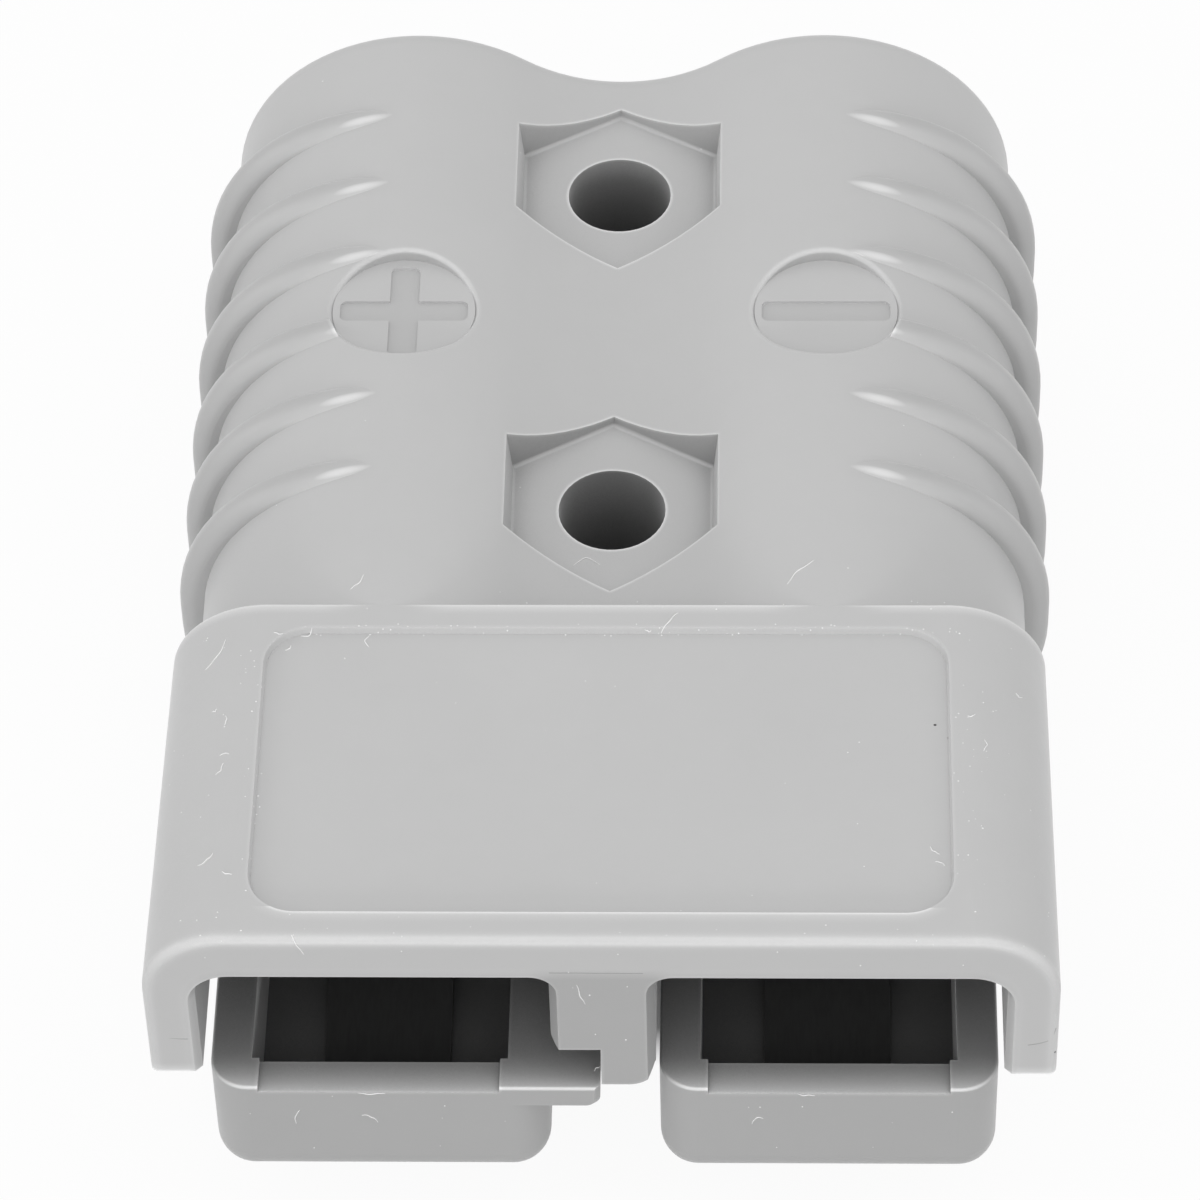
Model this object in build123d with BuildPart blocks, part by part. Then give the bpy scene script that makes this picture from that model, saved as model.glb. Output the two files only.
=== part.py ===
"""Two-pole genderless power connector: the moulded housing and its two contact springs.

Millimetres. X runs from the positive pole (left) to the negative pole (right), Y from the mating
face (front) to the cable end, Z up. The origin is on the resting plane, under the middle of the
overall length and width.
"""
from build123d import *
import os

# Overall sizes
overall_length = 80.6
overall_height = 28.4

# Hood that covers the other half's fingers
hood_width = 56.0
hood_rear_width = 55.8
hood_length = 27.2
hood_wall = 3.5
hood_leg_wall = 3.2
hood_leg_clearance = 1.2
hood_corner_radius = 5.2
hood_rear_corner_radius = 6.5
hood_inner_radius = 2.2
hood_edge_radius = 0.5
hood_rear_edge_radius = 0.15
leg_lead_in = 0.45
bulkhead_wall = 1.7

# Label recess on the hood
label_side_margin = 6.5
label_front_margin = 2.3
label_rear_margin = 1.95
label_depth = 0.5
label_draft = 17.0
label_corner_radius = 3.0

# Divider between the two mating cavities, with the coding notch
divider_width = 6.45
divider_offset = 0.05
divider_root_radius = 1.2
divider_corner_radius = 1.7
divider_lead_in = 0.5
divider_lead_in_length = 1.0
notch_side = -0.1
notch_corner_radius = 0.5

# Coding tab beside the positive finger, and its clearances in the other half's notch
tab_thickness = 2.05
tab_corner_radius = 0.9
tab_lead_in = 0.35
tab_side_clearance = 0.12
tab_top_clearance = 0.95

# Fingers that carry the contacts, with their clearances in the other half's cavities
finger_outer_clearance = 0.25
finger_inner_clearance = 0.225
finger_top_clearance = 0.5
finger_bottom_clearance = 0.9
finger_edge_radius = 2.4
finger_top_edge_radius = 0.2
finger_floor = 2.0
finger_side_wall = 2.55
finger_front_wall = 2.35
wiping_recess_inset = 0.475
wiping_recess_depth = 0.4
channel_length = 40.3

# Body of two barrels
barrel_side_flat = 2.3
saddle_depth = 4.4
rear_edge_radius = 1.6
cable_bore_diameter = 15.6
cable_mouth_chamfer = 0.8

# Grip ribs
rib_count = 6
rib_front_margin = 12.0
rib_rear_margin = 8.7
rib_height = 1.7
rib_crest_drop = 0.12
rib_width = 2.4
rib_edge_radius = 1.1

# Mounting holes in their nut pockets
bolt_hole_diameter = 7.0
bolt_front_margin = 12.7
bolt_rear_margin = 11.5
nut_across_flats = 13.2
nut_pocket_depth = 5.1
nut_pocket_draft = 6.0
nut_pocket_foot_radius = 0.25

# Pole roundels
roundel_diameter = 9.4
roundel_offset = -0.45
roundel_depth = 1.3
roundel_rim_radius = 0.28

# Contact springs
spring_width = 8.0
spring_thickness = 0.6
spring_front_clearance = 0.5
spring_rear_clearance = 3.9
spring_rise = 2.2
spring_front_foot = 2.6
spring_rear_foot = 5.0
spring_lip = 1.6

# Heights worked out from the sizes
middle = overall_height / 2
hood_underside = overall_height - hood_wall
leg_bottom = middle + hood_leg_clearance
finger_top = middle - finger_top_clearance
finger_bottom = hood_wall + finger_bottom_clearance
channel_floor = finger_bottom + finger_floor
notch_top = middle + finger_top_clearance + tab_thickness + tab_top_clearance

# Places along the connector
front = -overall_length / 2
rear = front + overall_length
hood_rear = front + hood_length
shoulder = hood_rear - bulkhead_wall
channel_front = front + finger_front_wall
channel_end = channel_front + channel_length
rib_first = hood_rear + rib_front_margin
rib_pitch = (rear - rib_rear_margin - rib_first) / (rib_count - 1)
bolt_places = [hood_rear + bolt_front_margin, rear - bolt_rear_margin]
roundel_y = sum(bolt_places) / len(bolt_places) + roundel_offset

# Places across the connector
divider_left = divider_offset - divider_width / 2
divider_right = divider_offset + divider_width / 2
cavity_side = hood_width / 2 - hood_leg_wall
finger_inner = divider_width / 2 + finger_inner_clearance
finger_width = cavity_side - finger_outer_clearance - finger_inner
pole_x = finger_inner + finger_width / 2
channel_width = finger_width - 2 * finger_side_wall
tab_side = notch_side - tab_side_clearance
barrel_radius = (overall_height - barrel_side_flat) / 2

# The saddle is an arc that runs smoothly into both barrels
saddle_radius = (pole_x**2 + (barrel_radius - saddle_depth) ** 2 - barrel_radius**2) / (2 * saddle_depth)
saddle_share = saddle_radius / (barrel_radius + saddle_radius)
saddle_edge_x = pole_x * saddle_share
saddle_edge_z = (overall_height - saddle_depth + saddle_radius
                 - saddle_radius * (barrel_radius - saddle_depth + saddle_radius)
                 / (barrel_radius + saddle_radius))


def section_plane(y):
    """Plane across the connector at y: its own x is X and its own y is Z."""
    return Plane.XZ.offset(-y)


def hood_outline(width, corner_radius):
    """Edges of the hood's outline across the connector, round at its two upper corners."""
    side = width / 2
    with BuildLine() as outline:
        FilletPolyline(
            (-side, leg_bottom),
            (-side, overall_height),
            (side, overall_height),
            (side, leg_bottom),
            radius=corner_radius,
        )
        Line((side, leg_bottom), (-side, leg_bottom))
    return outline.edges()


def lead_in_outline(side, radius):
    """Edges of the outline of a mating cavity between its middle and one side, round at the top."""
    with BuildLine() as outline:
        FilletPolyline((pole_x, hood_underside), (side, hood_underside), (side, finger_top), radius=radius)
        Polyline((side, finger_top), (pole_x, finger_top), (pole_x, hood_underside))
    return outline.edges()


# Blank of one finger, round at the front and along its edges
with BuildPart() as finger_form:
    with BuildSketch(Plane.XY.offset(finger_bottom)):
        with Locations((pole_x, (front + hood_rear) / 2)):
            Rectangle(finger_width, hood_length)
    extrude(amount=finger_top - finger_bottom)
    front_edges = finger_form.edges().filter_by(Axis.Z).group_by(Axis.Y)[0]
    lower_edges = finger_form.faces().sort_by(Axis.Z)[0].edges()
    rear_lower_edge = lower_edges.sort_by(Axis.Y)[-1]
    fillet(front_edges + [edge for edge in lower_edges if edge != rear_lower_edge], finger_edge_radius)
    fillet(finger_form.faces().sort_by(Axis.Z)[-1].edges().sort_by(Axis.Y)[:-1], finger_top_edge_radius)

# Coding tab, from inside the positive finger to its side in the divider's notch
with BuildPart() as tab_form:
    with BuildSketch(section_plane(shoulder)) as tab_section:
        tab_root = -finger_inner - finger_edge_radius
        with Locations(((tab_root + tab_side) / 2, finger_top - tab_thickness / 2)):
            Rectangle(tab_side - tab_root, tab_thickness)
        fillet(tab_section.vertices().group_by(Axis.Y)[0].sort_by(Axis.X)[-1], tab_corner_radius)
    extrude(amount=shoulder - front)
    chamfer(tab_form.edges().filter_by(Axis.Z).group_by(Axis.Y)[0].sort_by(Axis.X)[-1], tab_lead_in)
    fillet(tab_form.faces().sort_by(Axis.Z)[-1].edges().group_by(Axis.Y)[0], finger_top_edge_radius)

# Hood block, a little narrower and rounder at the rear
with BuildPart() as hood_form:
    with BuildSketch(section_plane(front)):
        make_face(hood_outline(hood_width, hood_corner_radius))
    with BuildSketch(section_plane(hood_rear)):
        make_face(hood_outline(hood_rear_width, hood_rear_corner_radius))
    loft(ruled=True)
    for end_face, edge_radius in (
        (hood_form.faces().sort_by(Axis.Y)[0], hood_edge_radius),
        (hood_form.faces().sort_by(Axis.Y)[-1], hood_rear_edge_radius),
    ):
        lowest_edge = end_face.edges().sort_by(Axis.Z)[0]
        fillet([edge for edge in end_face.edges() if edge != lowest_edge], edge_radius)

# Lead-in of a mating cavity: its outer side opens towards the front
with BuildPart() as leg_lead_in_form:
    for y, widening in ((front, leg_lead_in), (front + leg_lead_in, 0)):
        with BuildSketch(section_plane(y)):
            make_face(lead_in_outline(cavity_side + widening, hood_inner_radius + widening))
    loft(ruled=True)

# Lead-in of the negative cavity along the divider; the positive one has its mirror image
with BuildPart() as divider_lead_in_form:
    for y, widening in ((front, divider_lead_in), (front + divider_lead_in_length, 0)):
        with BuildSketch(section_plane(y)):
            make_face(lead_in_outline(divider_right - widening, divider_root_radius + widening))
    loft(ruled=True)

# One grip rib: the barrel's own outline, moved outward so that it fades into the crest
with BuildPart() as rib_form:
    with BuildSketch(Plane.XZ.offset(-rib_width / 2)):
        with Locations((pole_x + rib_height, middle)):
            SlotOverall(overall_height - 2 * rib_crest_drop, 2 * barrel_radius, rotation=90)
    extrude(amount=rib_width)
    fillet(rib_form.faces().filter_by(Axis.Y).edges(), rib_edge_radius)
    split(bisect_by=Plane.YZ.offset(pole_x), keep=Keep.TOP)

# Hollow of one nut pocket below the hood's height, wider towards its mouth
with BuildPart() as pocket_form:
    with BuildSketch(Plane.XY.offset(-nut_pocket_depth)):
        RegularPolygon(nut_across_flats / 2, 6, major_radius=False, rotation=30)
    extrude(amount=nut_pocket_depth, taper=-nut_pocket_draft)
    fillet(pocket_form.faces().sort_by(Axis.Z)[0].edges(), nut_pocket_foot_radius)

# All grip ribs, which stop short of the roundels' round rims
with BuildPart() as ribs:
    rib_places = [rib_first + index * rib_pitch for index in range(rib_count)]
    with Locations(*[(0, y, 0) for y in rib_places]):
        add(rib_form.part)
        add(rib_form.part.mirror(Plane.YZ))
    with BuildSketch(Plane.XY):
        with Locations((-pole_x, roundel_y), (pole_x, roundel_y)):
            Circle(roundel_diameter / 2 + roundel_rim_radius)
    extrude(amount=overall_height, mode=Mode.SUBTRACT)

# Moulded housing
with BuildPart() as housing:
    # Body: two barrels side by side with a saddle between them, above and below
    with BuildSketch(section_plane(rear)):
        with Locations((-pole_x, middle), (pole_x, middle)):
            SlotOverall(overall_height, 2 * barrel_radius, rotation=90)
        with Locations((0, middle)):
            Rectangle(2 * saddle_edge_x, 2 * (saddle_edge_z - middle))
        saddle_reach = middle - saddle_depth + saddle_radius
        with Locations((0, middle - saddle_reach), (0, middle + saddle_reach)):
            Circle(saddle_radius, mode=Mode.SUBTRACT)
    extrude(amount=rear - shoulder)
    fillet(housing.faces().sort_by(Axis.Y)[-1].edges(), rear_edge_radius)

    # Pole roundels, above and below, with round rims
    for height in (overall_height - roundel_depth, 0):
        with BuildSketch(Plane.XY.offset(height)):
            with Locations((-pole_x, roundel_y), (pole_x, roundel_y)):
                Circle(roundel_diameter / 2)
        extrude(amount=roundel_depth, mode=Mode.SUBTRACT)
        fillet(housing.edges(Select.LAST).filter_by(GeomType.BSPLINE), roundel_rim_radius)

    add(ribs.part)
    add(hood_form.part)

    # Divider down to the mating plane
    with BuildSketch(section_plane(shoulder)) as divider_section:
        with Locations((divider_offset, (middle + hood_underside) / 2)):
            Rectangle(divider_width, hood_underside - middle)
        fillet(divider_section.vertices().group_by(Axis.Y)[0].sort_by(Axis.X)[-1], divider_corner_radius)
    extrude(amount=shoulder - front)

    # Mating cavities on both sides of the divider; the positive one takes in the coding notch
    with BuildSketch(section_plane(shoulder)):
        with BuildLine():
            FilletPolyline(
                (-cavity_side, finger_top),
                (-cavity_side, hood_underside),
                (divider_left, hood_underside),
                (divider_left, notch_top),
                (notch_side, notch_top),
                radius=[hood_inner_radius, divider_root_radius, notch_corner_radius],
            )
            Polyline((notch_side, notch_top), (notch_side, finger_top), (-cavity_side, finger_top))
        make_face()
        with BuildLine():
            FilletPolyline(
                (divider_right, finger_top),
                (divider_right, hood_underside),
                (cavity_side, hood_underside),
                (cavity_side, finger_top),
                radius=[divider_root_radius, hood_inner_radius],
            )
            Line((cavity_side, finger_top), (divider_right, finger_top))
        make_face()
    extrude(amount=shoulder - front, mode=Mode.SUBTRACT)
    add([leg_lead_in_form.part, leg_lead_in_form.part.mirror(Plane.YZ)], mode=Mode.SUBTRACT)
    divider_middle = Plane.YZ.offset(divider_offset)
    add([divider_lead_in_form.part, divider_lead_in_form.part.mirror(divider_middle)], mode=Mode.SUBTRACT)

    # Fingers, and the coding tab on the positive one
    add([finger_form.part, finger_form.part.mirror(Plane.YZ), tab_form.part])

    # Shallow recess across the front of each finger, where the other contact slides over
    with BuildSketch(Plane.XY.offset(finger_top)):
        with Locations((-pole_x, front + finger_front_wall / 2), (pole_x, front + finger_front_wall / 2)):
            Rectangle(channel_width - 2 * wiping_recess_inset, finger_front_wall)
    extrude(amount=-wiping_recess_depth, mode=Mode.SUBTRACT)

    # Contact channels, open on top of each finger
    with BuildSketch(Plane.XY.offset(channel_floor)):
        with Locations((-pole_x, channel_front + channel_length / 2), (pole_x, channel_front + channel_length / 2)):
            Rectangle(channel_width, channel_length)
    extrude(amount=finger_top - channel_floor, mode=Mode.SUBTRACT)

    # Cable bores from the rear
    with BuildSketch(section_plane(rear)):
        with Locations((-pole_x, middle), (pole_x, middle)):
            Circle(cable_bore_diameter / 2)
    extrude(amount=rear - channel_end, mode=Mode.SUBTRACT)
    mouths = housing.edges(Select.LAST).filter_by(GeomType.CIRCLE).group_by(Axis.Y)[-1]
    chamfer(mouths, cable_mouth_chamfer)

    # Label recess
    label_width = hood_width - 2 * label_side_margin
    label_length = hood_length - label_front_margin - label_rear_margin
    with BuildSketch(Plane.XY.offset(overall_height)):
        with Locations((0, front + label_front_margin + label_length / 2)):
            RectangleRounded(label_width, label_length, label_corner_radius)
    extrude(amount=-label_depth, taper=label_draft, mode=Mode.SUBTRACT)

    # Nut pockets and mounting holes, the same from above and from below
    for y in bolt_places:
        add(pocket_form.part.moved(Location((0, y, overall_height))), mode=Mode.SUBTRACT)
        add(pocket_form.part.mirror(Plane.XY).moved(Location((0, y, 0))), mode=Mode.SUBTRACT)
    with BuildSketch(Plane.XY):
        with Locations(*[(0, y) for y in bolt_places]):
            Circle(bolt_hole_diameter / 2)
    extrude(amount=overall_height, mode=Mode.SUBTRACT)


# Contact spring: a strip that lies on the channel floor at both ends and arches between them
def contact_spring(x):
    """Spring strip centred at x, with its front lip turned up behind the finger's front wall."""
    start = channel_front + spring_front_clearance + spring_thickness / 2
    foot_end = start + spring_front_foot
    end = channel_end - spring_rear_clearance
    tail_start = end - spring_rear_foot
    low = channel_floor + spring_thickness / 2
    high = low + spring_rise
    with BuildPart() as spring:
        with BuildSketch(Plane.YZ.offset(x - spring_width / 2)):
            with BuildLine():
                Polyline((start, low + spring_lip), (start, low), (foot_end, low))
                Spline(
                    (foot_end, low),
                    ((foot_end + tail_start) / 2, high),
                    (tail_start, low),
                    tangents=((1, 0), (1, 0)),
                )
                Line((tail_start, low), (end, low))
            trace(line_width=spring_thickness)
        extrude(amount=spring_width)
    return spring


positive_spring = contact_spring(-pole_x)
negative_spring = contact_spring(pole_x)

os.makedirs("parts", exist_ok=True)
housing.part.label = "housing"
export_step(housing.part, "parts/housing.step")
positive_spring.part.label = "positive_contact_spring"
export_step(positive_spring.part, "parts/positive_contact_spring.step")
negative_spring.part.label = "negative_contact_spring"
export_step(negative_spring.part, "parts/negative_contact_spring.step")
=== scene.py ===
"""Looks of a two-pole genderless power connector: moulded housing with its contact springs."""

import math
import random

import bmesh
import bpy
from mathutils import Matrix, Vector
from mathutils.bvhtree import BVHTree
from mathutils.geometry import tessellate_polygon


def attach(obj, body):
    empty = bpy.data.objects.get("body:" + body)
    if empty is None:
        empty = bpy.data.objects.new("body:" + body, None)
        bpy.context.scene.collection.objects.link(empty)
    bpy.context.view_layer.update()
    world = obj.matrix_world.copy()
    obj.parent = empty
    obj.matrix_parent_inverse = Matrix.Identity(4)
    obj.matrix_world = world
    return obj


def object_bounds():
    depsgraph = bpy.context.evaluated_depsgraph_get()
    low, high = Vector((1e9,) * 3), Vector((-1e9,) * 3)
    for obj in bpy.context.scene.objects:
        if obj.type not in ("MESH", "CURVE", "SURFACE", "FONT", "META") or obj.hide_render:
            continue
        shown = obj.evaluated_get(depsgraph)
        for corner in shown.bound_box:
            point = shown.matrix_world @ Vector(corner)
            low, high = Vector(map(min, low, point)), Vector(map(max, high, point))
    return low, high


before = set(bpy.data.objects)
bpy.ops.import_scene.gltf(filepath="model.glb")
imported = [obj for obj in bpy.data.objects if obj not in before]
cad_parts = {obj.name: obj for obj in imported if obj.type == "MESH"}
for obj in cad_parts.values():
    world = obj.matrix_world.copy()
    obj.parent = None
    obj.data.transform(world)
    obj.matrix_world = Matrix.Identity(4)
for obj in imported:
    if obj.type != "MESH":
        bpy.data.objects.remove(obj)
cad_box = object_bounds()

MM = 0.001
CAD_FRONT = cad_box[0][1] / MM
OVERALL_HEIGHT = cad_box[1][2] / MM

# The camera that took the photograph, in millimetres and degrees
PHOTO_SIZE = 1200
LENS = 180.0
SENSOR = 36.0
VIEW_AZIMUTH = 2.39
VIEW_ELEVATION = 48.39
VIEW_ROLL = -1.72
VIEW_DISTANCE = 390.8
LOOK_AT = (-0.76, -5.3, 19.98)

# Greys of the moulding and the floor, as linear values
MOULDING_GREY = 0.515
# The floors of the pole marks' sunk bars are this share of the grey: painted shade
MARK_SHARE = 0.93
FLOOR_GREY = 0.8
FLOOR_BOUNCE_GREY = 0.35

# Painted shade: recesses darken down to RECESS_SHADE as they close from one share of openness to the
# other
RECESS_REACH = 25 * MM
RECESS_OPEN = 0.55
RECESS_CLOSED = 0.09
RECESS_SHADE = 0.18
MATING_SHADE_GAIN = 0.6

# Painted shade: the mating end, inside the hood's round-cornered opening, is painted darker than the
# rest
MATING_SHARE = 0.765
OPENING_SIDE = 24.8
OPENING_TOP = 24.9
OPENING_RADIUS = 2.2
OPENING_SOFTNESS = 0.2
HOOD_REAR = -13.1
HOOD_REAR_MARGIN = 0.1

# The barrels' outer sides, beyond this x, are lit from the side and so get less painted shade and less
# painted edge highlight
BARREL_SIDE_START = 15.0
BARREL_SIDE_RAMP = 5.0
BARREL_SIDE_SHADE_LOSS = 0.75
BARREL_SIDE_EDGE_LOSS = 0.8

# Grain of the plastic: sizes in millimetres, shares of the grey and of the roughness
FLOW_SIZE = 14.0
FLOW_SHARE = 0.05
MOTTLE_SIZE = 2.2
MOTTLE_SHARE = 0.03
SATIN_ROUGHNESS = 0.34
ROUGHNESS_SPREAD = 0.10
ROUGHNESS_SIZE = 1.1
TEXTURE_SIZE = 0.35
TEXTURE_DEPTH = 0.02
TEXTURE_STRENGTH = 0.25

# Painted highlight: convex edges are lighter, by up to this share and over this reach; the hood's also
# over a wider band
EDGE_REACH = 0.25 * MM
EDGE_LIGHTENING = 1.1
MATING_EDGE_LOSS = 0.6
HOOD_EDGE_REACH = 0.9 * MM
HOOD_EDGE_LIGHTENING = 0.7

# The label recess gets less painted edge highlight: its zone, in millimetres
LABEL_SIDE = 24.2
LABEL_FRONT = -37.6
LABEL_REAR = -14.2
LABEL_EDGE_SHARE = 0.25

# Painted light: upward faces of the mating end are lighter towards their front edge, over this length
FRONT_LIT_LENGTH = 3.6
FRONT_LIT_LIGHTENING = 1.1
FRONT_LIT_FADE = 2.5

# Grip ribs, in millimetres: their crests get painted shade, and a painted highlight lies near each tip
RIB_FIRST = -1.1
RIB_PITCH = 6.54
RIB_REAR_LIMIT = 35.0
TIP_X = 17.3
TIP_Y = -0.3
TIP_SLOPE = 0.15
TIP_HALF_LENGTH = 1.9
TIP_HALF_WIDTH = 0.34
TIP_LIGHTENING = 0.4
CREST_HALF_WIDTH = 1.25
CREST_DARKENING = 0.13

# Pole marks: thin plates on the roundels' floors, with sunk bars of (length, width), millimetres
ROUNDEL_DIAMETER = 9.4
ROUNDEL_DEPTH = 1.3
ROUNDEL_FROM_FRONT = 54.05
PLATE_INTO_WALL = 0.04
PLATE_THICKNESS = 0.3
BAR_DEPTH = 0.2
BAR_CORNER = 0.45
ACROSS_BAR = (8.5, 1.8)
ALONG_BAR = (8.0, 1.95)
POLE_X = 14.0
RIM_POINTS = 96
BAR_EDGE_ROUNDING = 0.07

# Softboxes that face the object's middle: (name, place, size, watts), in metres
OBJECT_MIDDLE = Vector((0.0, 0.0, 0.014))
SOFTBOXES = (
    ("top_softbox", (0.0, -0.12, 0.85), (1.2, 0.24), 1.85),
    ("left_softbox", (-0.9, -0.05, 0.3), (0.9, 0.4), 1.3),
    ("right_softbox", (0.9, -0.05, 0.3), (0.9, 0.4), 0.6),
    ("front_softbox", (0.0, -1.1, 0.2), (1.4, 0.3), 4.9),
    ("camera_softbox", (0.0, -0.6, 0.75), (0.5, 0.3), 0.7),
)
WORLD_STRENGTH = 0.64

# The floor's glow stops in the strip under the object, with these half sizes and fades in millimetres
FLOOR_GLOW = 0.94
STRIP_HALF_WIDTH = 10
STRIP_SIDE_FADE = 6
STRIP_MIDDLE_Y = 5
STRIP_HALF_LENGTH = 30
STRIP_END_FADE = 3

# Fibres that lie on the moulding: (start x, start y, end x, end y, bend), in the photograph's pixels
FIBRES = (
    (205, 670, 226, 640, 2.5), (224, 725, 226, 716, 1.5), (212, 712, 217, 709, 1.0),
    (220, 756, 229, 754, -1.5), (301, 636, 312, 628, 4.5), (285, 650, 291, 646, 1.5),
    (369, 647, 369, 636, -4.0), (274, 632, 283, 634, 1.0), (573, 566, 600, 565, -7.0),
    (661, 633, 678, 613, -1.5), (645, 629, 651, 631, 1.0), (983, 751, 985, 740, 2.5),
    (1016, 693, 1022, 698, 1.5), (968, 716, 975, 714, 1.5), (291, 935, 304, 954, 1.0),
    (577, 985, 585, 1004, 1.0), (594, 1071, 600, 1067, -1.0), (296, 1123, 300, 1110, -2.5),
    (362, 1115, 378, 1122, -2.5), (752, 1124, 763, 1118, -3.5), (845, 976, 845, 987, 1.0),
    (797, 1094, 815, 1095, 0.6), (358, 1093, 385, 1093, 0.8), (198, 866, 213, 853, 1.5),
    (350, 589, 364, 575, 2.0), (787, 584, 814, 561, -2.5), (930, 847, 940, 854, 1.5),
    (935, 862, 945, 866, -1.5), (222, 872, 232, 874, 1.0), (216, 775, 223, 763, 1.5),
)
FIBRE_RADIUS = 0.036
FIBRE_STEPS = 14
FIBRE_LONGEST_STEP = 0.8
FIBRE_FEWEST_POINTS = 4
FIBRE_TIP_SHARE = 0.55
FIBRE_LIFT = 0.7
FIBRE_RIPPLE = (0.25, 0.6)
FIBRE_RIPPLE_TURNS = 3.2

# Fields of settled specks: (left, top, right, bottom, count), in pixels of the photograph
SPECK_FIELDS = (
    (150, 620, 235, 960, 22), (965, 640, 1050, 960, 22), (270, 624, 970, 636, 60),
    (250, 640, 980, 900, 14), (240, 650, 262, 900, 26), (954, 650, 985, 900, 22),
    (300, 600, 960, 610, 14), (190, 925, 1010, 945, 12), (200, 910, 1000, 975, 16),
    (240, 1095, 540, 1150, 7), (700, 1095, 960, 1150, 7), (560, 985, 650, 1040, 5),
    (240, 420, 980, 600, 8), (300, 60, 950, 400, 6),
)
SPECK_RADII = (0.025, 0.062)
SPECK_OVAL = (0.6, 1.0)
SPECK_HEIGHT = 0.45
DARK_SPECKS = ((935, 725, 0.10), (1055, 1052, 0.07), (948, 738, 0.05))

# Witness lines of the mould on the front faces, in pixels of the photograph
WITNESS_LINES = (
    ((146, 1028), (150, 1034), (165, 1039), (188, 1039)),
    ((1056, 1028), (1054, 1036), (1046, 1043), (1028, 1045)),
    ((549, 973), (580, 973), (612, 973.5), (643, 973.5)),
)
WITNESS_RADIUS = 0.045
WITNESS_SHARE = 0.55
WITNESS_SINK = 0.5


class Wire:
    """A shader socket that takes part in Python expressions; each operator adds its Math node."""

    def __init__(self, finish, socket):
        self.finish = finish
        self.socket = socket

    def math(self, operation, *operands):
        return self.finish.add("ShaderNodeMath", {"operation": operation}, dict(enumerate(operands)))

    def __add__(self, other):
        return self.math("ADD", self, other)

    __radd__ = __add__

    def __sub__(self, other):
        return self.math("SUBTRACT", self, other)

    def __rsub__(self, other):
        return self.math("SUBTRACT", other, self)

    def __mul__(self, other):
        return self.math("MULTIPLY", self, other)

    __rmul__ = __mul__

    def __truediv__(self, other):
        return self.math("DIVIDE", self, other)

    def __abs__(self):
        return self.math("ABSOLUTE", self)

    def __pow__(self, other):
        return self.math("POWER", self, other)

    def below(self, edge):
        return self.math("LESS_THAN", self, edge)

    def above(self, edge):
        return self.math("GREATER_THAN", self, edge)

    def at_least(self, floor):
        return self.math("MAXIMUM", self, floor)

    def wrapped(self, period):
        """The same place within one period, from minus half of it to half of it."""
        return self.math("WRAP", self, period / 2, -period / 2)

    def limited(self):
        return self.finish.add("ShaderNodeClamp", {}, {"Value": self})


class Nodes:
    """The nodes of a material or of the world."""

    def __init__(self, tree):
        self.tree = tree

    def add(self, kind, settings, sockets, output=0):
        """One node: its settings first, then the values or links of its sockets. Returns an output."""
        node = self.tree.nodes.new(kind)
        for key, value in settings.items():
            setattr(node, key, value)
        for key, value in sockets.items():
            self.connect(value, node.inputs[key])
        return Wire(self, node.outputs[output])

    def connect(self, value, socket):
        if isinstance(value, Wire):
            self.tree.links.new(value.socket, socket)
        else:
            socket.default_value = value

    def seen_rays(self):
        """1 for rays from the camera, in reflections and through glass, 0 for the rest."""
        camera, glossy, through = (
            self.add("ShaderNodeLightPath", {}, {}, f"Is {ray} Ray")
            for ray in ("Camera", "Glossy", "Transmission")
        )
        return (camera + glossy + through).limited()


class Finish(Nodes):
    """A material with one Principled shader."""

    def __init__(self, name, **shader_values):
        self.material = bpy.data.materials.new(name)
        self.material.use_nodes = True
        super().__init__(self.material.node_tree)
        self.shader = self.tree.nodes["Principled BSDF"]
        for socket, value in shader_values.items():
            self.shader.inputs[socket.replace("_", " ")].default_value = value

    def feed(self, **wires):
        for socket, wire in wires.items():
            self.connect(wire, self.shader.inputs[socket.replace("_", " ")])

    def place(self):
        """Where a point lies on the object, in metres."""
        return self.add("ShaderNodeTexCoord", {}, {}, "Object")

    def axes(self):
        """The x, y and z of that place."""
        place = self.place()
        return [self.add("ShaderNodeSeparateXYZ", {}, {0: place}, axis) for axis in "XYZ"]

    def upward(self):
        """1 on faces that look up, 0 on upright ones and those that look down."""
        normal = self.add("ShaderNodeNewGeometry", {}, {}, "Normal")
        return self.add("ShaderNodeSeparateXYZ", {}, {0: normal}, "Z").limited()

    def noise(self, size_mm, detail=2.0, roughness=0.5):
        """Noise from 0 to 1 whose blotches are about size_mm across."""
        scale = 1 / (size_mm * MM)
        values = {"Vector": self.place(), "Scale": scale, "Detail": detail, "Roughness": roughness}
        return self.add("ShaderNodeTexNoise", {}, values)

    def grey(self, wire):
        """A colour with this wire in each channel."""
        return self.add("ShaderNodeCombineColor", {}, {0: wire, 1: wire, 2: wire})

    def openness(self, reach, inside=False):
        """How open the surface is over this reach, from 0 to 1, looking outwards or into the solid."""
        settings = {"samples": 4, "inside": inside, "only_local": True}
        return self.add("ShaderNodeAmbientOcclusion", settings, {"Distance": reach}, "AO")

    def bump(self, height, distance_mm, strength=1.0):
        values = {"Strength": strength, "Distance": distance_mm * MM, "Height": height}
        return self.add("ShaderNodeBump", {}, values, "Normal")


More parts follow.
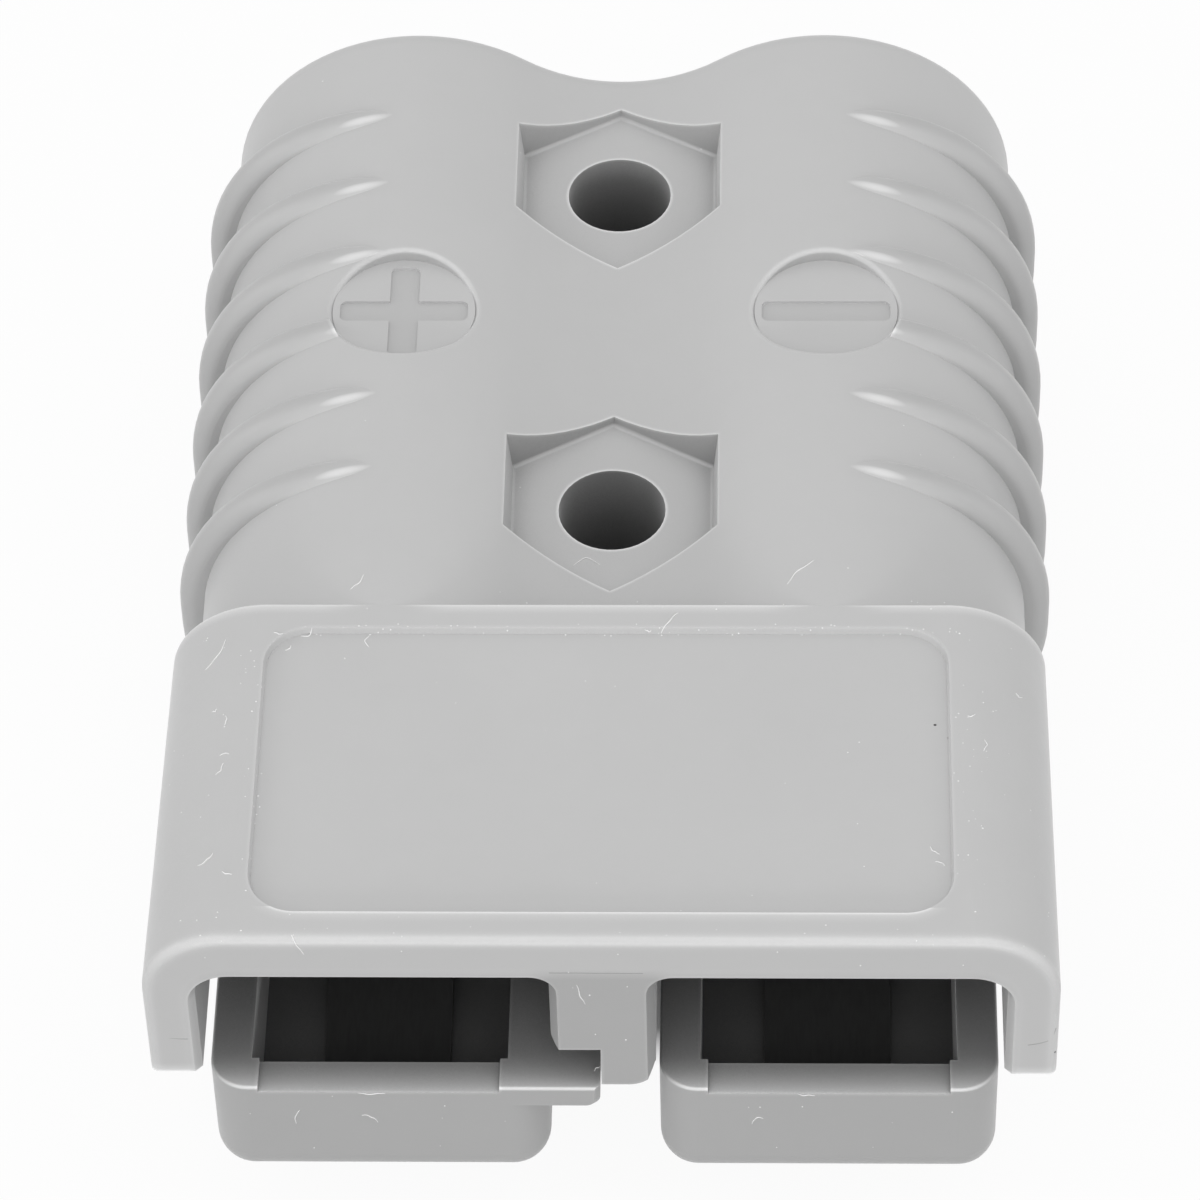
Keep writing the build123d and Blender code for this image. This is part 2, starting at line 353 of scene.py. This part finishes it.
def painted_light_and_shade(finish, grey):
    """The grey with painted shade in recesses, on rib crests and over the mating end, and painted
    highlights on edges, rib tips and the mating end's front.
    """
    x, y, z = (axis / MM for axis in finish.axes())
    # Painted shade in recesses, creases and holes, from how closed in the surface is
    openness = finish.openness(RECESS_REACH)
    clear = ((openness - RECESS_CLOSED) / (RECESS_OPEN - RECESS_CLOSED)).limited()
    behind_hood = y.above(HOOD_REAR)
    barrel_side = ((abs(x) - BARREL_SIDE_START) / BARREL_SIDE_RAMP).limited() * behind_hood
    recess = 1 - (1 - clear) * (1 - BARREL_SIDE_SHADE_LOSS * barrel_side)

    across = (abs(x) - (OPENING_SIDE - OPENING_RADIUS)).at_least(0)
    over = (z - (OPENING_TOP - OPENING_RADIUS)).at_least(0)
    outside = ((across ** 2 + over ** 2) ** 0.5 - OPENING_RADIUS + OPENING_SOFTNESS).limited()
    mating = (1 - outside) * y.below(HOOD_REAR)
    # Painted light on the mating end's upward faces, strongest at their front edge
    front_lit = ((CAD_FRONT + FRONT_LIT_LENGTH - y) / FRONT_LIT_LENGTH).limited() ** FRONT_LIT_FADE
    front_lit = front_lit * finish.upward() * mating

    # Painted highlights along convex edges, over a wider band on the hood and weaker in the label recess
    on_hood = y.below(HOOD_REAR + HOOD_REAR_MARGIN) * outside
    in_label = abs(x).below(LABEL_SIDE) * y.above(LABEL_FRONT) * y.below(LABEL_REAR) * outside
    hood_edge_highlight = on_hood * (1 - in_label) * (1 - finish.openness(HOOD_EDGE_REACH, inside=True))
    edge = (1 - BARREL_SIDE_EDGE_LOSS * barrel_side) * (1 - finish.openness(EDGE_REACH, inside=True))
    edge = edge * (1 - (1 - LABEL_EDGE_SHARE) * in_label) * (1 - MATING_EDGE_LOSS * mating)

    # Painted shade on the rib crests and a painted highlight near each rib tip
    ribbed = y.above(RIB_FIRST - RIB_PITCH / 2) * y.below(RIB_REAR_LIMIT)
    from_rib = (y - RIB_FIRST).wrapped(RIB_PITCH)
    crest = (1 - (from_rib / CREST_HALF_WIDTH) ** 2).limited() * ribbed * barrel_side
    along_tip = abs(x) - TIP_X
    across_tip = from_rib - TIP_Y + TIP_SLOPE * along_tip
    tip = 1 - (along_tip / TIP_HALF_LENGTH) ** 2 - (across_tip / TIP_HALF_WIDTH) ** 2
    tip = tip.limited() * ribbed

    shade = RECESS_SHADE * (1 + MATING_SHADE_GAIN * mating)
    grey = grey * (shade + (1 - shade) * recess) * (1 - CREST_DARKENING * crest)
    # Painted shade over the whole mating end
    grey = grey * (1 - (1 - MATING_SHARE) * mating)
    grey = grey * (1 + TIP_LIGHTENING * tip + FRONT_LIT_LIGHTENING * front_lit)
    return grey * (1 + EDGE_LIGHTENING * edge + HOOD_EDGE_LIGHTENING * hood_edge_highlight)


def moulded_plastic(name, share=1.0, with_painted_light=True):
    """Satin grey thermoplastic with a fine grain and, if asked, painted light and shade."""
    finish = Finish(name, IOR=1.5, Sheen_Weight=0.5, Sheen_Roughness=0.35)
    flow = finish.noise(FLOW_SIZE, 3.0) - 0.5
    mottle = finish.noise(MOTTLE_SIZE, 4.0, 0.6) - 0.5
    grey = share * MOULDING_GREY * (1 + FLOW_SHARE * flow + MOTTLE_SHARE * mottle)
    if with_painted_light:
        # Painted light and shade go into the grey here
        grey = painted_light_and_shade(finish, grey)
    roughness = SATIN_ROUGHNESS + ROUGHNESS_SPREAD * finish.noise(ROUGHNESS_SIZE, 3.0)
    finish.feed(
        Base_Color=finish.grey(grey),
        Roughness=roughness.limited(),
        Normal=finish.bump(finish.noise(TEXTURE_SIZE, 3.0), TEXTURE_DEPTH, TEXTURE_STRENGTH),
    )
    return finish.material


def spring_steel():
    """Spring strip whose near-black colour is painted shade for the deep windows, with fine rolling
    lines along its length.
    """
    finish = Finish("spring_steel", Metallic=0.6, IOR=2.0)
    x, y, z = finish.axes()
    stretched = finish.add("ShaderNodeCombineXYZ", {}, {0: x * 24, 1: y * 1.2, 2: z * 24})
    lines = finish.add("ShaderNodeTexNoise", {}, {"Vector": stretched, "Scale": 220.0, "Detail": 2.0})
    finish.feed(
        # The near-black grey stands in for the shade deep inside the windows: painted shade
        Base_Color=finish.grey(0.065 + 0.04 * lines),
        Roughness=0.45 + 0.16 * lines,
    )
    return finish.material


def dust_white():
    """Pale lint, a little uneven along its length."""
    finish = Finish("dust_white", Roughness=0.7, Sheen_Weight=0.5)
    finish.feed(Base_Color=finish.grey(0.78 + 0.14 * finish.noise(0.6)))
    return finish.material


def dust_dark():
    """Dark grit."""
    finish = Finish("dust_dark", Roughness=0.8)
    finish.feed(Base_Color=finish.grey(0.03 + 0.05 * finish.noise(0.1)))
    return finish.material


def floor_paint():
    """Pale matt floor: it shows as white, keeps the object's shadow and throws back little light."""
    finish = Finish("studio_floor", Roughness=0.9)
    finish.shader.inputs["Specular IOR Level"].default_value = 0.0
    seen = finish.seen_rays()
    cloud = 0.01 * (finish.noise(60.0) - 0.5)
    x, y, _ = (axis / MM for axis in finish.axes())
    beside = (abs(x) - STRIP_HALF_WIDTH) / STRIP_SIDE_FADE
    past_ends = (abs(y - STRIP_MIDDLE_Y) - STRIP_HALF_LENGTH) / STRIP_END_FADE
    beyond = beside.at_least(past_ends).limited()
    grey = FLOOR_BOUNCE_GREY + (FLOOR_GREY - FLOOR_BOUNCE_GREY) * seen + cloud
    finish.feed(Base_Color=finish.grey(grey))
    glow = finish.add("ShaderNodeEmission", {}, {"Color": (1, 1, 1, 1), "Strength": 1.0})
    paint = Wire(finish, finish.shader.outputs[0])
    share = FLOOR_GLOW * seen * beyond
    mixed = finish.add("ShaderNodeMixShader", {}, {0: share, 1: paint, 2: glow})
    finish.connect(mixed, finish.tree.nodes["Material Output"].inputs["Surface"])
    return finish.material


def set_material(piece, material):
    piece.data.materials.clear()
    piece.data.materials.append(material)


def place_camera():
    """The photograph's camera: round the object by azimuth, up by elevation, then rolled."""
    azimuth, elevation, roll = (math.radians(a) for a in (VIEW_AZIMUTH, VIEW_ELEVATION, VIEW_ROLL))
    away = Vector((
        math.sin(azimuth) * math.cos(elevation),
        -math.cos(azimuth) * math.cos(elevation),
        math.sin(elevation),
    ))
    level = Vector((0, 0, 1)).cross(away).normalized()
    upright = away.cross(level)
    right = math.cos(roll) * level + math.sin(roll) * upright
    up = math.cos(roll) * upright - math.sin(roll) * level
    data = bpy.data.cameras.new("photo_camera")
    data.lens = LENS
    data.sensor_width = SENSOR
    data.clip_start = 0.01
    data.clip_end = 20
    camera = bpy.data.objects.new("photo_camera", data)
    bpy.context.collection.objects.link(camera)
    turn = Matrix((right, up, away)).transposed().to_4x4()
    place = (Vector(LOOK_AT) + VIEW_DISTANCE * away) * MM
    camera.matrix_world = Matrix.Translation(place) @ turn
    bpy.context.scene.camera = camera
    bpy.context.view_layer.update()
    return camera


def softbox(name, place, size, power):
    """A flat soft lamp at place, facing the object, in metres and watts."""
    data = bpy.data.lights.new(name, "AREA")
    data.shape = "RECTANGLE"
    data.size, data.size_y = size
    data.energy = power
    lamp = bpy.data.objects.new(name, data)
    bpy.context.collection.objects.link(lamp)
    lamp.location = place
    lamp.rotation_euler = (OBJECT_MIDDLE - Vector(place)).to_track_quat("-Z", "Y").to_euler()


def light_studio():
    """Softboxes above, at both sides and low in front, and a white surround that adds little light."""
    for name, place, size, power in SOFTBOXES:
        softbox(name, place, size, power)
    world = bpy.data.worlds.new("studio")
    bpy.context.scene.world = world
    world.use_nodes = True
    surround = Nodes(world.node_tree)
    background = surround.tree.nodes["Background"]
    background.inputs["Color"].default_value = (1, 1, 1, 1)
    strength = WORLD_STRENGTH + (1 - WORLD_STRENGTH) * surround.seen_rays()
    surround.connect(strength, background.inputs["Strength"])


def lay_floor():
    bpy.ops.mesh.primitive_plane_add(size=6, location=(0, 0, cad_box[0][2]))
    floor = bpy.context.object
    floor.name = "studio_floor"
    set_material(floor, floor_paint())


def rounded_corners(corners, radius, steps=5):
    """The closed outline through these corners, each rounded where it is convex, as (x, y) points."""
    outline = []
    for index, corner in enumerate(corners):
        before, after = Vector(corners[index - 1]), Vector(corners[(index + 1) % len(corners)])
        corner = Vector(corner)
        arrive, leave = (corner - before).normalized(), (after - corner).normalized()
        if arrive.cross(leave) <= 0:
            outline.append(corner)
            continue
        middle = corner - radius * arrive + radius * leave
        for step in range(steps + 1):
            turn = math.pi / 2 * step / steps
            shift = radius * math.sin(turn) * arrive - radius * math.cos(turn) * leave
            outline.append(middle + shift)
    return outline


def mark_outline(positive):
    """Outline of the + or the - sign, anticlockwise, in millimetres from the roundel's centre."""
    length, width = (size / 2 for size in ACROSS_BAR)
    if positive:
        reach, half = (size / 2 for size in ALONG_BAR)
        side = [(length, -width), (length, width), (half, width)]
        side += [(half, reach), (-half, reach), (-half, width)]
    else:
        side = [(length, -width), (length, width)]
    return rounded_corners(side + [(-x, -y) for x, y in side], BAR_CORNER)


def pole_plate(name, positive, top):
    """Thin disc that covers a roundel's floor and carries the pole sign as sunk bars."""
    radius = ROUNDEL_DIAMETER / 2 + PLATE_INTO_WALL
    turns = [math.tau * index / RIM_POINTS for index in range(RIM_POINTS)]
    rim = [Vector((radius * math.cos(turn), radius * math.sin(turn))) for turn in turns]
    mark = mark_outline(positive)
    low, sunk, high = 0.0, PLATE_THICKNESS - BAR_DEPTH, PLATE_THICKNESS
    build = bmesh.new()

    def ring(points, z):
        return [build.verts.new((point.x, point.y, z)) for point in points]

    def wall(lower, upper, slot):
        for i in range(len(lower)):
            j = (i + 1) % len(lower)
            build.faces.new((lower[i], lower[j], upper[j], upper[i])).material_index = slot

    def cap(loops, slot, upward=True):
        verts = [vert for loop in loops for vert in loop]
        flat = [[vert.co for vert in loop] for loop in loops]
        for triple in tessellate_polygon(flat):
            corners = [verts[i] for i in triple]
            face = build.faces.new(corners)
            face.normal_update()
            if (face.normal.z > 0) != upward:
                face.normal_flip()
            face.material_index = slot

    base, crown = ring(rim, low), ring(rim, high)
    bar_floor, bar_mouth = ring(mark, sunk), ring(mark, high)
    wall(base, crown, 0)
    wall(bar_mouth, bar_floor, 0)
    cap([crown, bar_mouth], 0)
    cap([bar_floor], 1)
    cap([base], 0, upward=False)
    bmesh.ops.recalc_face_normals(build, faces=build.faces)
    weight = build.edges.layers.float.new("bevel_weight_edge")
    for loop in (bar_mouth, bar_floor):
        for i, vert in enumerate(loop):
            build.edges.get((vert, loop[i - 1]))[weight] = 1.0

    side = -1 if positive else 1
    floor_z = OVERALL_HEIGHT - ROUNDEL_DEPTH if top else ROUNDEL_DEPTH
    flip = Matrix.Identity(4) if top else Matrix.Rotation(math.pi, 4, "Y")
    place = Matrix.Translation((side * POLE_X, CAD_FRONT + ROUNDEL_FROM_FRONT, floor_z)) @ flip
    build.transform(Matrix.Scale(MM, 4) @ place)
    plate = finished_piece(name, build, [plate_plastic, mark_plastic])
    bevel = plate.modifiers.new("soft_edges", "BEVEL")
    bevel.width = BAR_EDGE_ROUNDING * MM
    bevel.segments = 2
    bevel.limit_method = "WEIGHT"
    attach(plate, "root")


def finished_piece(name, build, materials):
    """A mesh object made from this bmesh, which is freed."""
    mesh = bpy.data.meshes.new(name)
    build.to_mesh(mesh)
    build.free()
    piece = bpy.data.objects.new(name, mesh)
    bpy.context.collection.objects.link(piece)
    for material in materials:
        mesh.materials.append(material)
    return piece


def photo_ray(x, y):
    """Where the ray through this pixel of the photograph meets the housing, and the normal there."""
    across, upward = (x - PHOTO_SIZE / 2) / PHOTO_SIZE, (PHOTO_SIZE / 2 - y) / PHOTO_SIZE
    aim = Vector((across * SENSOR, upward * SENSOR, -LENS)).normalized()
    view = camera.matrix_world
    place, normal, _, _ = housing_surface.ray_cast(view.translation, view.to_3x3() @ aim)
    return place, normal


def thread_piece(name, threads, material):
    """Thin round threads, each a list of (place, radius) in metres, as one mesh on the body."""
    curve = bpy.data.curves.new(name, "CURVE")
    curve.dimensions = "3D"
    curve.bevel_depth = 1.0
    curve.bevel_resolution = 1
    curve.use_fill_caps = True
    for thread in threads:
        spline = curve.splines.new("NURBS")
        spline.points.add(len(thread) - 1)
        for point, (place, radius) in zip(spline.points, thread):
            point.co = (*place, 1.0)
            point.radius = radius
        spline.order_u = 3
        spline.use_endpoint_u = True
        spline.resolution_u = 3
    shaped = bpy.data.objects.new(name + "_curve", curve)
    bpy.context.collection.objects.link(shaped)
    bpy.context.view_layer.update()
    evaluated = shaped.evaluated_get(bpy.context.evaluated_depsgraph_get())
    mesh = bpy.data.meshes.new_from_object(evaluated)
    bpy.data.objects.remove(shaped)
    mesh.name = name
    piece = bpy.data.objects.new(name, mesh)
    bpy.context.collection.objects.link(piece)
    set_material(piece, material)
    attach(piece, "root")


def settled_fibres():
    """Short curly fibres on the hood, the fingers and the body."""
    threads = []
    for x0, y0, x1, y1, bend in FIBRES:
        length = math.hypot(x1 - x0, y1 - y0)
        side = ((y0 - y1) / length, (x1 - x0) / length)
        ripple, phase = chance.uniform(*FIBRE_RIPPLE), chance.uniform(0, math.tau)
        thread = []
        for step in range(FIBRE_STEPS):
            t = step / (FIBRE_STEPS - 1)
            bulge = math.sin(math.pi * t)
            shift = bend * bulge + ripple * math.sin(FIBRE_RIPPLE_TURNS * math.pi * t + phase)
            x, y = x0 + (x1 - x0) * t + side[0] * shift, y0 + (y1 - y0) * t + side[1] * shift
            place, normal = photo_ray(x, y)
            if place is None or (thread and (place - thread[-1][0]).length > FIBRE_LONGEST_STEP * MM):
                break
            radius = FIBRE_RADIUS * MM * (FIBRE_TIP_SHARE + (1 - FIBRE_TIP_SHARE) * bulge)
            thread.append((place + FIBRE_LIFT * radius * normal, radius))
        if len(thread) >= FIBRE_FEWEST_POINTS:
            threads.append(thread)
    thread_piece("settled_fibres", threads, lint)


def settled_specks():
    """Specks of dust pressed flat on the surface, most of them pale and a few dark."""
    specks = []
    for left, top, right, bottom, count in SPECK_FIELDS:
        for _ in range(count):
            x, y = chance.uniform(left, right), chance.uniform(top, bottom)
            specks.append((x, y, chance.uniform(*SPECK_RADII), 0))
    specks += [(x, y, radius, 1) for x, y, radius in DARK_SPECKS]
    build = bmesh.new()
    for x, y, radius, slot in specks:
        place, normal = photo_ray(x, y)
        if place is None:
            continue
        turn = normal.to_track_quat("Z", "X").to_matrix().to_4x4()
        size = radius * MM
        shape = Matrix.Diagonal((size, size * chance.uniform(*SPECK_OVAL), size * SPECK_HEIGHT, 1))
        stand = Matrix.Translation(place) @ turn @ shape
        before = len(build.faces)
        bmesh.ops.create_icosphere(build, subdivisions=2, radius=1, matrix=stand)
        build.faces.ensure_lookup_table()
        for face in build.faces[before:]:
            face.material_index = slot
            face.smooth = True
    piece = finished_piece("settled_specks", build, [lint, dust_dark()])
    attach(piece, "root")


def witness_lines():
    """Fine seams that the mould's inserts leave on the front faces."""
    radius = WITNESS_RADIUS * MM
    threads = []
    for line in WITNESS_LINES:
        found = [photo_ray(x, y) for x, y in line]
        sink = WITNESS_SINK * radius
        threads.append([(place - sink * normal, radius) for place, normal in found if place is not None])
    seam_plastic = moulded_plastic("witness_line_grey", WITNESS_SHARE, with_painted_light=False)
    thread_piece("witness_lines", threads, seam_plastic)


camera = place_camera()
light_studio()
lay_floor()
depsgraph = bpy.context.evaluated_depsgraph_get()
housing_surface = BVHTree.FromObject(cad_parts["housing"], depsgraph)
chance = random.Random(7)

plastic = moulded_plastic("moulded_grey")
# The pole plates and marks carry no painted light and shade
plate_plastic = moulded_plastic("pole_plate_grey", with_painted_light=False)
mark_plastic = moulded_plastic("pole_mark_grey", MARK_SHARE, with_painted_light=False)
steel = spring_steel()
lint = dust_white()
for pole, positive in (("positive", True), ("negative", False)):
    for side, top in (("top", True), ("underside", False)):
        pole_plate(f"{pole}_mark_{side}", positive, top)
settled_fibres()
settled_specks()
witness_lines()
set_material(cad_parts["housing"], plastic)
for node in ("positive_contact_spring", "negative_contact_spring"):
    set_material(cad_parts[node], steel)

bpy.context.scene.view_settings.view_transform = "Standard"
